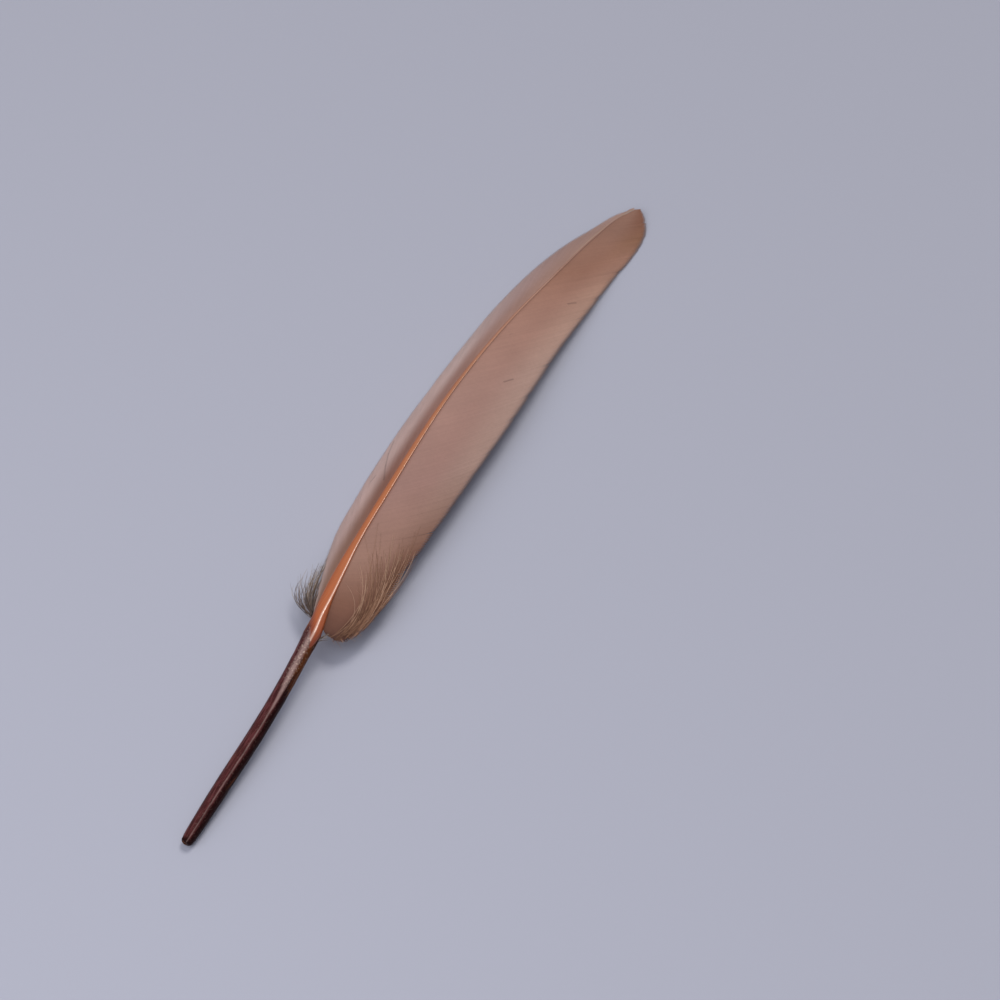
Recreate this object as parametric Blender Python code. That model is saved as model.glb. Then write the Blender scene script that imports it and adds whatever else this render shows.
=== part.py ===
"""A duck's wing feather, lying with its upper side up.

It grew as one piece, so it is one closed solid: a bare quill that becomes the shaft, a wide
trailing vane, a narrow leading vane that curls down, and the small tuft of down at its base.
+Y runs from the blunt quill end to the tip, +X to the trailing vane, +Z up.
"""
import math
import random

import bmesh
import bpy
import numpy as np

MM = 0.001

# The shaft's centre line in mm: distance along the feather, sideways place, height.
SHAFT_LINE = ((0, 0.0, 0.9), (10, -0.27, 1.84), (20, -0.38, 2.78), (25, -0.6, 3.25), (29.5, -0.93, 3.65),
              (33, -1.25, 4.0), (37, -1.65, 4.4), (43, -2.83, 4.8),
              (50, -3.75, 5.2), (65, -4.85, 5.8), (85, -5.8, 6.0), (100, -5.55, 5.2), (115, -4.4, 3.7),
              (128, -3.05, 2.1), (134, -2.0, 1.3), (137.7, -0.6, 0.9))
# The shaft's width and depth in mm along the feather; it ends as a fine ridge at the vanes' tip.
SHAFT_SIZE = ((0, 1.35, 1.3), (0.4, 1.8, 1.7), (3, 2.12, 1.95), (8, 2.4, 2.25), (16, 2.5, 2.25), (24, 2.42, 2.25),
              (33, 2.42, 2.3), (37, 2.75, 2.35), (39, 2.35, 2.15), (43, 1.98, 1.9), (49, 1.66, 1.72),
              (53, 1.28, 1.6), (63, 1.0, 1.4),
              (74, 0.85, 1.2), (110, 0.55, 0.9), (130, 0.4, 0.72), (137.7, 0.22, 0.5))

# Barbs that set a vane's shape, in mm: where one leaves the shaft, then its tip's x, y and z.
TRAILING_BARBS = ((38.2, 0.2, 37.5, 4.3), (39.2, 2.6, 37.9, 3.8), (40.5, 3.9, 41.2, 3.6), (42.5, 4.6, 45.3, 3.6),
                  (46, 4.4, 51.5, 3.7), (52, 4.6, 60.5, 4.0), (60, 4.6, 72.0, 4.1), (70, 4.5, 84.8, 3.9),
                  (80, 4.0, 95.0, 3.3),
                  (90, 3.5, 105.0, 2.5), (100, 3.4, 114.5, 1.4), (110, 3.35, 123.0, 0.55),
                  (118, 3.7, 129.2, 0.2), (126, 3.2, 134.0, 0.3), (132, 1.9, 136.5, 0.6),
                  (135.5, 0.8, 137.6, 0.8), (137.7, 0.0, 138.2, 0.9))
LEADING_BARBS = ((40.9, -5.3, 45.4, 3.0), (45, -8.8, 54.0, 0.8), (52, -10.75, 65.0, 0.2),
                 (60, -11.5, 77.0, 0.2), (70, -11.5, 89.0, 0.35), (80, -11.3, 99.0, 0.3),
                 (90, -10.8, 108.5, 0.2), (100, -9.5, 117.5, 0.25), (110, -7.4, 125.5, 0.3),
                 (118, -5.15, 130.8, 0.4), (126, -3.2, 135.1, 0.6), (132, -1.7, 137.0, 0.8),
                 (135.5, -1.4, 137.5, 0.9), (137.7, -1.0, 137.9, 0.9))
# The tuft of down at the leading vane's base, barb by barb, in the same terms.
TUFT_BARBS = ((38.5, -8.0, 41.9, 1.6), (39.1, -9.0, 43.8, 1.7), (40.0, -8.2, 45.6, 2.3),
              (40.9, -6.2, 46.2, 3.0))

# A barb's bend: how much of its way across, along and down it has gone at its middle control point
TRAILING_BEND = (0.58, 0.42, 0.22)
LEADING_BEND = (0.55, 0.45, 0.30)

# The vanes split into locks, each a group of barbs that hold together.
VANE_START = 38.5
VANE_END = 137.7
BASE_LOCK_PITCHES = (0.8, 0.8, 0.8, 1.2, 1.8, 2.6, 3.3)   # short downy locks first, in mm along the shaft
LOCKS_ABOVE_BASE = 21
LOCK_PHASES = (0.0, 0.22, 0.55, 0.82)
NOTCH_DEPTH = (0.25, 0.8)      # the V between two locks, in mm back from the vane's edge
BASE_NOTCH_DEPTH = 1.5
SPLIT_GROOVE = 0.08            # how far a split between two locks sinks the vane's top face
VANE_ROOT_THICKNESS = 0.6
VANE_EDGE_THICKNESS = 0.4

STEPS_ACROSS = 4               # faces from the shaft to a vane's edge
SIDE_ANGLE = math.radians(25)  # a vane grows from the shaft's side, this far above and below its middle
LIP_SPACING = 0.22             # on the bare quill the vanes' points close up to this share of that angle
ARC_STEPS = 5                  # faces over the shaft's top, and as many under it
QUILL_STATIONS = (0.0, 0.4, 1.4, 3, 5.5, 8, 12, 16, 20, 24, 28, 33, 35, 37, 38)

QUILL, SHAFT, VANE = 0, 1, 2   # the solid's material slots

NOTCH_SEED = 11
EDGE_ANGLE = math.radians(40)


def clear_scene():
    for old in list(bpy.data.objects):
        bpy.data.objects.remove(old)


def plain_material(name, colour, roughness):
    material = bpy.data.materials.new(name)
    material.use_nodes = True
    shader = material.node_tree.nodes["Principled BSDF"]
    shader.inputs["Base Color"].default_value = (*colour, 1.0)
    shader.inputs["Roughness"].default_value = roughness
    shader.inputs["Metallic"].default_value = 0.0
    material.diffuse_color = (*colour, 1.0)
    return material


def smooth(rows, at):
    """Reads a smooth curve through rows of (key, value, value...) at one key."""
    table = np.array(rows, dtype=float)
    keys = table[:, 0]
    values = table[:, 1:]
    slopes = np.gradient(values, keys, axis=0)
    at = min(max(at, keys[0]), keys[-1])
    i = min(int(np.searchsorted(keys, at, side="right")) - 1, len(keys) - 2)
    span = keys[i + 1] - keys[i]
    t = (at - keys[i]) / span
    rise = t * t * (3 - 2 * t)
    return (values[i] * (1 - rise) + values[i + 1] * rise
            + span * t * (1 - t) * ((1 - t) * slopes[i] - t * slopes[i + 1]))


def unit(vector):
    return vector / np.linalg.norm(vector)


def shaft_centre(y):
    x, z = smooth(SHAFT_LINE, y)
    return np.array([x, y, z])


def shaft_ahead(y):
    return unit(shaft_centre(min(y + 1, VANE_END)) - shaft_centre(max(y - 1, 0)))


def on_shaft(y, angle):
    """A point on the shaft's skin: angle 0 faces the trailing vane, a quarter turn faces up."""
    ahead = shaft_ahead(y)
    side = unit(np.cross(ahead, (0, 0, 1)))
    up = np.cross(side, ahead)
    stations, widths, depths = zip(*SHAFT_SIZE)
    across = side * np.interp(y, stations, widths) / 2
    rise = up * np.interp(y, stations, depths) / 2
    return shaft_centre(y) + across * math.cos(angle) + rise * math.sin(angle)


def lock_starts():
    """Where each lock begins along the shaft, with the vane's end as the last entry."""
    starts = [VANE_START]
    for pitch in BASE_LOCK_PITCHES:
        starts.append(starts[-1] + pitch)
    above = starts[-1]
    for number in range(LOCKS_ABOVE_BASE):
        starts.append(above + (VANE_END - above) * (number + 1) / LOCKS_ABOVE_BASE)
    return starts


def vane_stations(chance):
    """Stations along the shaft: (y, trailing notch, leading notch, share of a split's groove)."""
    starts = lock_starts()
    stations = []
    for number in range(len(starts) - 1):
        low = starts[number]
        pitch = starts[number + 1] - low
        if number == 0:
            notches = (0.0, 0.0)
        elif number < len(BASE_LOCK_PITCHES) - 1:
            notches = (BASE_NOTCH_DEPTH * chance.uniform(0.3, 0.6), BASE_NOTCH_DEPTH)
        else:
            notches = (chance.uniform(*NOTCH_DEPTH), chance.uniform(*NOTCH_DEPTH))
        for phase in LOCK_PHASES:
            at_split = phase == 0.0
            deep = notches if at_split else (0.0, 0.0)
            stations.append((low + pitch * phase, deep[0], deep[1], 1.0 if at_split and number else 0.0))
    stations.append((VANE_END, 0.0, 0.0, 0.0))
    return stations


def barb_points(root, tip, bend, notch):
    """Points along one barb from the shaft to its tip, stopped short of the tip by the notch."""
    across, along, down = bend
    way = tip - root
    control = root + way * (across, along, down)
    share = 1 - notch / max(np.linalg.norm(way), notch * 2, 0.01)
    points = []
    for step in range(1, STEPS_ACROSS + 1):
        t = share * step / STEPS_ACROSS
        points.append((1 - t) ** 2 * root + 2 * t * (1 - t) * control + t * t * tip)
    return points


def section(y, notch_trailing, notch_leading, groove):
    """One closed loop round the feather: over its top from edge to edge, then back underneath."""
    angles = [SIDE_ANGLE + (math.pi - 2 * SIDE_ANGLE) * i / ARC_STEPS for i in range(ARC_STEPS + 1)]
    top = [on_shaft(y, angle) for angle in angles]
    bottom = [on_shaft(y, -angle) for angle in angles]
    if y < VANE_START:
        lips = [SIDE_ANGLE * (1 - LIP_SPACING * step) for step in range(1, STEPS_ACROSS + 1)]
        near_top = [on_shaft(y, lip) for lip in lips]
        near_bottom = [on_shaft(y, -lip) for lip in lips]
        far_top = [on_shaft(y, math.pi - lip) for lip in lips]
        far_bottom = [on_shaft(y, math.pi + lip) for lip in lips]
    else:
        leading_rows = TUFT_BARBS if y <= TUFT_BARBS[-1][0] else LEADING_BARBS
        near_root = (top[0] + bottom[0]) / 2
        far_root = (top[-1] + bottom[-1]) / 2
        near = barb_points(near_root, smooth(TRAILING_BARBS, y), TRAILING_BEND, notch_trailing)
        far = barb_points(far_root, smooth(leading_rows, y), LEADING_BEND, notch_leading)
        near_top, near_bottom = sheet_faces(near_root, near, groove, 1)
        far_top, far_bottom = sheet_faces(far_root, far, groove, -1)
    over = near_top[::-1] + top + far_top
    under = near_bottom[::-1] + bottom + far_bottom
    return over + under[::-1]


def sheet_faces(root, points, groove, side):
    """The top and bottom points of the vane's thin sheet along one barb; side is -1 on the leading vane."""
    line = [root] + points
    tops, bottoms = [], []
    for i, point in enumerate(points, start=1):
        run = line[min(i + 1, len(line) - 1)] - line[i - 1]
        normal = unit(np.array([-run[2] * side, 0.0, math.hypot(run[0], run[1])]))
        thickness = VANE_ROOT_THICKNESS + (VANE_EDGE_THICKNESS - VANE_ROOT_THICKNESS) * i / STEPS_ACROSS
        tops.append(point + normal * (thickness / 2 - SPLIT_GROOVE * groove))
        bottoms.append(point - normal * thickness / 2)
    return tops, bottoms


def close_end(mesh, ring):
    """Closes an end by joining each top point to the one below it, so the cap is a row of quads."""
    half = len(ring) // 2
    for i in range(half - 1):
        mesh.faces.new((ring[i], ring[i + 1], ring[-2 - i], ring[-1 - i]))


def feather_mesh(materials):
    chance = random.Random(NOTCH_SEED)
    stations = [(y, 0.0, 0.0, 0.0) for y in QUILL_STATIONS] + vane_stations(chance)
    mesh = bmesh.new()
    rings = []
    for station in stations:
        rings.append([mesh.verts.new(point) for point in section(*station)])
    shaft_faces = range(STEPS_ACROSS, STEPS_ACROSS + ARC_STEPS)
    count = len(rings[0])
    for (low, high), station in zip(zip(rings, rings[1:]), stations[1:]):
        for i in range(count):
            face = mesh.faces.new((low[i], low[(i + 1) % count], high[(i + 1) % count], high[i]))
            mirrored = count - 2 - i
            if station[0] <= VANE_START:
                face.material_index = QUILL
            elif i in shaft_faces or mirrored in shaft_faces:
                face.material_index = SHAFT
            else:
                face.material_index = VANE
    close_end(mesh, rings[0])
    close_end(mesh, rings[-1])
    bmesh.ops.recalc_face_normals(mesh, faces=mesh.faces[:])
    rest_on_origin(mesh)
    data = bpy.data.meshes.new("feather")
    mesh.to_mesh(data)
    mesh.free()
    for material in materials:
        data.materials.append(material)
    data.shade_smooth()
    data.set_sharp_from_angle(angle=EDGE_ANGLE)
    return data


def rest_on_origin(mesh):
    """Moves the shape so that its box stands centred on the origin, and turns mm into metres."""
    places = np.array([vertex.co[:] for vertex in mesh.verts])
    low, high = places.min(axis=0), places.max(axis=0)
    foot = np.array([(low[0] + high[0]) / 2, (low[1] + high[1]) / 2, low[2]])
    for vertex, place in zip(mesh.verts, places):
        vertex.co = (place - foot) * MM


def main():
    clear_scene()
    materials = (plain_material("quill_keratin", (0.045, 0.018, 0.014), 0.35),
                 plain_material("shaft_keratin", (0.40, 0.15, 0.08), 0.45),
                 plain_material("vane_barbs", (0.28, 0.17, 0.13), 0.75))
    feather = bpy.data.objects.new("feather", feather_mesh(materials))
    bpy.context.collection.objects.link(feather)


main()
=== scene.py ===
# %% [markdown]
# # A dyed duck wing feather
#
# The real thing is one growth of keratin, lying with its upper side up. It has a bare, dark quill,
# a tan shaft, a wide vane behind the shaft and a narrow one in front that curls down.
# This lesson loads the solid model as a frame and dresses it: first the camera and the light, then
# the shaft as one lofted tube, then each vane barb by barb with Geometry Nodes, and last the loose
# down at the base.

# %% Frame
import math

import bmesh
import bpy
import numpy as np
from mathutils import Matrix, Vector


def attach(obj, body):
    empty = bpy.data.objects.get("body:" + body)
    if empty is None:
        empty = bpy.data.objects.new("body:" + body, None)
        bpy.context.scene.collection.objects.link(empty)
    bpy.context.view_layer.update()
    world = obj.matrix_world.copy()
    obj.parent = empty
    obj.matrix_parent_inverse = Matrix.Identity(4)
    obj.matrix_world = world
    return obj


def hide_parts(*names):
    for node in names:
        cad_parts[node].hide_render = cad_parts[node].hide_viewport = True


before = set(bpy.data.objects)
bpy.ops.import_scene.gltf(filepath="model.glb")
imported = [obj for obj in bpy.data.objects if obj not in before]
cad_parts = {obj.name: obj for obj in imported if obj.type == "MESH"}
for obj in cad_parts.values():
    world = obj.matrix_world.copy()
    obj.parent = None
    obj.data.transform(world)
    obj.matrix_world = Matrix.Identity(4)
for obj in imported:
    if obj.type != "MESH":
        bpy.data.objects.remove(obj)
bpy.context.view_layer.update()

MM = 0.001

# %% [markdown]
# ## Where the feather lies
#
# All sizes below are in mm, counted from the blunt end of the quill: x towards the wide vane,
# y along the feather, z up from the floor. One offset puts them where the solid lies.
# A few rows of numbers give the feather's form, and a smooth curve is read through each set.

# %% Tables of the feather's form
QUILL_END = np.array([3.467, -69.068, 0.043])
# The shaft's middle: y, x, z.
SHAFT_LINE = ((0, -0.1, 0.9), (10, -0.27, 1.84), (20, -0.38, 2.78), (25, -0.6, 3.25),
              (29.5, -0.93, 3.65), (33, -1.25, 4.0), (37, -1.65, 4.4), (43, -2.83, 4.8),
              (50, -3.75, 5.2), (65, -4.85, 5.8), (85, -5.8, 6.0), (100, -5.55, 5.2), (115, -4.4, 3.7),
              (128, -3.05, 2.1), (134, -2.0, 1.3), (137.7, -0.6, 0.9))
# The shaft's size: y, width, height over the middle, depth under it.
SHAFT_SIZE = ((0, 1.0, 0.47, 0.47), (0.12, 1.42, 0.67, 0.67), (0.4, 1.76, 0.83, 0.83),
              (1.2, 1.98, 0.92, 0.92), (3, 2.14, 0.99, 0.94), (8, 2.4, 1.12, 1.12),
              (16, 2.5, 1.12, 1.12), (24, 2.42, 1.12, 1.12), (33, 2.42, 1.15, 1.15),
              (35, 2.58, 1.16, 1.16), (36.7, 2.76, 1.17, 1.17), (38.1, 2.5, 1.1, 1.1),
              (40, 2.18, 0.97, 1.0), (43, 1.98, 0.8, 0.95), (46, 1.87, 0.7, 0.93), (49, 1.66, 0.6, 0.9),
              (52, 1.35, 0.52, 0.86), (55, 1.12, 0.46, 0.83), (63, 1.04, 0.36, 0.75),
              (74, 0.85, 0.27, 0.6), (85, 0.64, 0.2, 0.52), (96, 0.52, 0.15, 0.44),
              (109, 0.37, 0.11, 0.35), (120, 0.26, 0.08, 0.26), (130, 0.16, 0.05, 0.18),
              (135.5, 0.08, 0.03, 0.1))
# Barbs that set a vane's form: the root's y, then the tip's x, y and z.
TRAILING_BARBS = ((38.2, 0.2, 37.5, 4.3), (39.2, 2.6, 37.9, 3.8), (40.5, 3.9, 41.2, 3.6),
                  (42.5, 4.6, 45.3, 3.6), (46, 4.4, 51.5, 3.7), (52, 4.6, 60.5, 4.0),
                  (60, 4.6, 72.0, 4.1), (70, 4.5, 84.8, 3.9), (80, 4.0, 95.0, 3.3),
                  (90, 3.5, 105.0, 2.5), (100, 3.4, 114.5, 1.4), (110, 3.35, 123.0, 0.55),
                  (118, 3.7, 129.2, 0.2), (126, 3.2, 134.0, 0.3), (132, 1.9, 136.5, 0.6),
                  (135.5, 0.8, 137.6, 0.8), (137.7, 0.0, 138.2, 0.9))
LEADING_BARBS = ((38.1, -3.35, 39.9, 4.2), (38.9, -3.95, 41.3, 4.05), (39.9, -4.85, 43.4, 3.65),
                 (41, -5.7, 45.4, 3.1), (43, -7.4, 49.6, 1.9), (45, -9.0, 54.1, 0.85),
                 (52, -10.75, 65.0, 0.2), (60, -11.5, 77.0, 0.2), (70, -11.5, 89.0, 0.35),
                 (80, -11.3, 99.0, 0.3), (90, -10.8, 108.5, 0.2), (100, -9.5, 117.5, 0.25),
                 (110, -7.4, 125.5, 0.3), (118, -5.15, 130.8, 0.4), (126, -3.2, 135.1, 0.6),
                 (132, -1.7, 137.0, 0.8), (135.5, -1.4, 137.5, 0.9), (137.7, -1.0, 137.9, 0.9))


def read_rows(rows, at):
    """Reads a smooth curve through rows of (key, value, value...) at many keys at once."""
    table = np.array(rows, dtype=float)
    keys, values = table[:, 0], table[:, 1:]
    slopes = np.gradient(values, keys, axis=0)
    at = np.clip(np.asarray(at, dtype=float), keys[0], keys[-1])
    i = np.clip(np.searchsorted(keys, at, side="right") - 1, 0, len(keys) - 2)
    span = (keys[i + 1] - keys[i])[:, None]
    t = (at - keys[i])[:, None] / span
    rise = t * t * (3 - 2 * t)
    return (values[i] * (1 - rise) + values[i + 1] * rise
            + span * t * (1 - t) * ((1 - t) * slopes[i] - t * slopes[i + 1]))


def unit(vectors):
    return vectors / np.linalg.norm(vectors, axis=-1, keepdims=True)


DIRECTION_REACH = 1.0        # mm to each side over which the shaft's direction is read


def shaft_frame(y):
    """The shaft's centre, sideways and upward directions, width, and height and depth at many y."""
    y = np.asarray(y, dtype=float)
    last = SHAFT_LINE[-1][0]

    def centre(at):
        x, z = read_rows(SHAFT_LINE, at).T
        return np.stack([x, at, z], axis=1)

    ahead = unit(centre(np.minimum(y + DIRECTION_REACH, last)) - centre(np.maximum(y - DIRECTION_REACH, 0)))
    side = unit(np.cross(ahead, (0, 0, 1)))
    up = np.cross(side, ahead)
    stations, widths, heights, depths = zip(*SHAFT_SIZE)
    return (centre(y), side, up, np.interp(y, stations, widths), np.interp(y, stations, heights),
            np.interp(y, stations, depths))


def in_place(points):
    """Turns mm from the quill's end into metres in the frame."""
    return (np.asarray(points) + QUILL_END) * MM


print("the quill is up to", max(width for _, width, _, _ in SHAFT_SIZE), "mm wide, and the middle",
      "of the shaft rises to", max(height for _, _, height in SHAFT_LINE), "mm")

# %% [markdown]
# ## Camera
#
# The photograph was taken with a long lens from in front of the quill, looking down at about
# fifty degrees. Distance and place are the ones at which the feather's outline falls on the
# photograph's.

# %% Camera
CAMERA_AZIMUTH = math.radians(28.75)
CAMERA_ELEVATION = math.radians(52.0)
CAMERA_DISTANCE = 429.9 * MM
CAMERA_TARGET = Vector((12.15, 5.27, 0.04)) * MM
FIELD_OF_VIEW = math.radians(20.0)
NEAREST_SEEN = 10 * MM       # nothing nearer to the camera is drawn


def toward(azimuth, elevation):
    """The direction from the object to a viewer or a lamp."""
    flat = math.cos(elevation)
    return Vector((math.sin(azimuth) * flat, -math.cos(azimuth) * flat, math.sin(elevation)))


def aim(thing, place, target):
    """Puts a camera or a lamp in its place, turned towards its target, and adds it to the scene."""
    thing.location = place
    thing.rotation_euler = (place - target).to_track_quat("Z", "Y").to_euler()
    bpy.context.scene.collection.objects.link(thing)


camera_data = bpy.data.cameras.new("camera")
camera_data.angle = FIELD_OF_VIEW
camera_data.clip_start = NEAREST_SEEN
camera = bpy.data.objects.new("camera", camera_data)
aim(camera, CAMERA_TARGET + toward(CAMERA_AZIMUTH, CAMERA_ELEVATION) * CAMERA_DISTANCE, CAMERA_TARGET)
bpy.context.scene.camera = camera
print("camera at", [round(value / MM, 1) for value in camera.location], "mm, lens",
      round(camera_data.lens, 1), "mm")

# %% [markdown]
# ## Light and floor
#
# A product photographer would light this on a pale sweep with soft boxes. The large one is near, in
# front and to the left: the curled vane faces it, and the paper darkens away from it. The smaller
# one is far, high behind the tip, and draws the thin bright line on the shaft's ridge. The floor is
# plain pale grey-blue paper, and the room gives the rest of the light.
# The view transform is set to Standard, so that a colour given here comes out as given.

# %% Colour, and one small function that adds a node
def linear(hex_colour):
    """Turns an sRGB hex colour into the linear values that a shader reads."""
    values = [int(hex_colour[i:i + 2], 16) / 255 for i in (1, 3, 5)]
    return tuple(v / 12.92 if v <= 0.04045 else ((v + 0.055) / 1.055) ** 2.4 for v in values) + (1.0,)


def feed(tree, node, sockets):
    """Fills sockets, by name or in order, with values, with outputs, or with nodes for their first output."""
    pairs = sockets.items() if isinstance(sockets, dict) else enumerate(sockets)
    for key, source in pairs:
        if isinstance(source, bpy.types.Node):
            source = source.outputs[0]
        if isinstance(source, bpy.types.NodeSocket):
            tree.links.new(source, node.inputs[key])
        else:
            node.inputs[key].default_value = source


def add(tree, kind, sockets=(), stops=(), **settings):
    """Adds a node with its settings and links; stops fill a colour ramp."""
    node = tree.nodes.new(kind)
    for name, value in settings.items():
        setattr(node, name, value)
    feed(tree, node, sockets)
    if stops:
        elements = node.color_ramp.elements
        while len(elements) < len(stops):
            elements.new(1.0)
        for element, (position, hex_colour) in zip(elements, stops):
            element.position = position
            element.color = linear(hex_colour)
    return node


def new_material(name, **values):
    """A material whose shader has these constants; returns it with its tree and shader."""
    material = bpy.data.materials.new(name)
    material.use_nodes = True
    tree = material.node_tree
    shader = tree.nodes["Principled BSDF"]
    feed(tree, shader, {socket.replace("_", " "): value for socket, value in values.items()})
    return material, tree, shader


bpy.context.scene.view_settings.view_transform = "Standard"

# %% Floor
# Matt paper: rough, with no gloss of its own, so it only takes the shadows.
FLOOR_HALF_SIZE = 2.0        # metres, past everything that any view shows
paper, tree, shader = new_material("matt_grey_blue_paper", Roughness=0.9, Specular_IOR_Level=0.2)
shader.inputs["Base Color"].default_value = linear("#b0b2c0")
floor_mesh = bpy.data.meshes.new("floor")
corners = [(x * FLOOR_HALF_SIZE, y * FLOOR_HALF_SIZE, 0.0) for x, y in ((-1, -1), (1, -1), (1, 1), (-1, 1))]
floor_mesh.from_pydata(corners, [], [(0, 1, 2, 3)])
floor_mesh.materials.append(paper)
floor = bpy.data.objects.new("floor", floor_mesh)
bpy.context.scene.collection.objects.link(floor)
print("the floor is", FLOOR_HALF_SIZE * 2, "m wide")

# %% Lamps
# Name, degrees from the camera round to the right, elevation, distance and size in metres, share of full
# light on the floor, colour.
LAMPS = (("left_window", -38, 48, 0.42, 0.5, 0.53, "#f7f8fd"),
         ("back_box", 151, 61, 2.2, 0.78, 0.38, "#fffaf2"))
SKY_SHARE = 0.31
MIDDLE = Vector((0, 0, 3)) * MM
for name, turn, elevation, distance, size, share, tint in LAMPS:
    lamp = bpy.data.lights.new(name, "AREA")
    lamp.shape = "SQUARE"
    lamp.size = size
    lamp.color = linear(tint)[:3]
    direction = toward(CAMERA_AZIMUTH + math.radians(turn), math.radians(elevation))
    # A soft box that faces the middle gives the floor power * sin(elevation) / (pi * distance squared);
    # pi of that would make a white floor come out white.
    lamp.energy = share * math.pi ** 2 * distance ** 2 / math.sin(math.radians(elevation))
    aim(bpy.data.objects.new(name, lamp), MIDDLE + direction * distance, MIDDLE)
world = bpy.data.worlds.new("soft_room")
world.use_nodes = True
world.node_tree.nodes["Background"].inputs["Color"].default_value = linear("#ebedf8")
world.node_tree.nodes["Background"].inputs["Strength"].default_value = SKY_SHARE
bpy.context.scene.world = world
print(len(LAMPS), "soft boxes and a room that gives", SKY_SHARE, "of the light")

# %% [markdown]
# ## Quill and shaft
#
# Keratin like a fingernail, hollow in the quill and filled with pith in the shaft. It isn't round:
# its upper face slopes to the narrow vane, and a ridge runs along it on the other side, where the
# light catches. The dark sheath ends in a ragged wedge where the vanes begin, and the tan shaft
# comes out of it. A loft suits it: the same closed outline at many stations, each with its own
# width, depth and direction, joined by faces, with a small pit at the quill's blunt end.

# %% The shaft's outline
# Shares of the half-width and of the height or depth, from the trailing side over the ridge, the leading
# side and the underside.
# The quill's ridge runs near its middle; on the shaft it has moved out to the wide vane's roots.
LOWER_SIDE = ((-1.0, 0.02), (-0.9, -0.45), (-0.55, -0.84), (0.0, -1.0), (0.55, -0.84), (0.9, -0.45))
QUILL_OUTLINE = ((1.0, 0.0), (0.92, 0.5), (0.62, 0.86), (0.39, 0.985), (0.29, 0.985), (-0.15, 0.87),
                 (-0.52, 0.7), (-0.84, 0.42)) + LOWER_SIDE
SHAFT_OUTLINE = ((1.0, 0.0), (0.99, 0.55), (0.94, 0.88), (0.86, 0.985), (0.68, 0.99), (0.1, 0.84),
                 (-0.45, 0.64), (-0.84, 0.38)) + LOWER_SIDE
RIDGE_MOVES = (38.5, 44.5)
POINTS_ROUND = 64
OUTLINE_ROUNDING = 2


def even_outline(corners):
    """The outline as evenly spaced points, with its corners rounded by averaging neighbours."""
    corners = np.array(corners + corners[:1])
    lengths = np.concatenate([[0], np.cumsum(np.linalg.norm(np.diff(corners, axis=0), axis=1))])
    at = np.linspace(0, lengths[-1], POINTS_ROUND, endpoint=False)
    points = np.stack([np.interp(at, lengths, corners[:, i]) for i in range(2)], axis=1)
    for _ in range(OUTLINE_ROUNDING):
        points = (np.roll(points, 1, axis=0) + points * 2 + np.roll(points, -1, axis=0)) / 4
    return points


def shaft_outlines(y):
    """The outline at each station, blended from the quill's to the shaft's."""
    share = np.clip((y - RIDGE_MOVES[0]) / (RIDGE_MOVES[1] - RIDGE_MOVES[0]), 0, 1)
    share = (share * share * (3 - 2 * share))[:, None, None]
    return even_outline(QUILL_OUTLINE) * (1 - share) + even_outline(SHAFT_OUTLINE) * share


# %% Stations along the shaft
SHAFT_END = 135.5
END_STATIONS = (0.0, 0.05, 0.12, 0.22, 0.4, 0.7, 1.2, 2.0)    # close together where the blunt end rounds off
STATION_RUNS = ((3.0, 33.0, 0.75), (33.0, 41.0, 0.12), (41.0, SHAFT_END, 0.6))   # from, to, step
SHAFT_STATIONS = np.concatenate([END_STATIONS, *(np.arange(*run) for run in STATION_RUNS), [SHAFT_END]])
print("the shaft is lofted through", len(SHAFT_STATIONS), "stations, closest at the sheath's torn top")

# %% Small unevenness of the bare quill
SHEATH_END = 38.0
UNEVEN_LENGTH = 1.1          # mm from one growth mark to the next
UNEVEN_SPOTS = 8             # spots round the outline
UNEVEN_SHARE = 0.012         # usual swell or sink of a spot, as a share of the radius
UNEVEN_SEED = 17


def unevenness(y):
    """Scales each outline point a little up or down: growth marks and rubbed spots on the bare quill."""
    chance = np.random.default_rng(UNEVEN_SEED)
    knots = np.arange(0.0, SHEATH_END + UNEVEN_LENGTH, UNEVEN_LENGTH)
    values = chance.normal(0, UNEVEN_SHARE, (len(knots), UNEVEN_SPOTS))
    values[[0, -1]] = 0
    spots = np.arange(UNEVEN_SPOTS + 1)
    along = np.stack([np.interp(y, knots, values[:, i % UNEVEN_SPOTS]) for i in spots], axis=1)
    round_at = np.linspace(0, UNEVEN_SPOTS, POINTS_ROUND, endpoint=False)
    return 1 + np.stack([np.interp(round_at, spots, row) for row in along])


uneven = unevenness(SHAFT_STATIONS)
print("the bare quill swells and sinks by up to", round(np.abs(uneven - 1).max() * 100, 1), "percent")

# %% The shaft's mesh
# The dark sheath's torn top: place across, and the y at which the sheath ends there.
SHEATH_TOP = ((-1.0, 39.8), (-0.75, 38.6), (-0.5, 37.3), (-0.1, 36.3), (0.25, 35.6), (0.5, 34.7),
              (0.66, 34.1), (0.82, 34.8), (1.0, 36.6))
# Rings of the small pit at the blunt end, where the growing feather was fed: share of the end's size, depth.
PIT_RINGS = ((0.17, 0.6), (0.34, 0.48), (0.442, 0.03))


def store(mesh, name, values, kind="FLOAT", field="value"):
    """Keeps one number, or one vector, at each of a mesh's points."""
    attribute = mesh.attributes.new(name, kind, "POINT")
    attribute.data.foreach_set(field, np.asarray(values, dtype=np.float32).ravel())


def loft(rings):
    """Faces that join each ring of points to the next."""
    count = len(rings[0])
    faces = []
    for low in range(0, (len(rings) - 1) * count, count):
        for i in range(count):
            j = (i + 1) % count
            faces.append((low + i, low + j, low + count + j, low + count + i))
    return faces


def outward(mesh):
    """Turns the faces outwards, for a closed mesh."""
    work = bmesh.new()
    work.from_mesh(mesh)
    bmesh.ops.recalc_face_normals(work, faces=work.faces[:])
    work.to_mesh(mesh)
    work.free()


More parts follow.
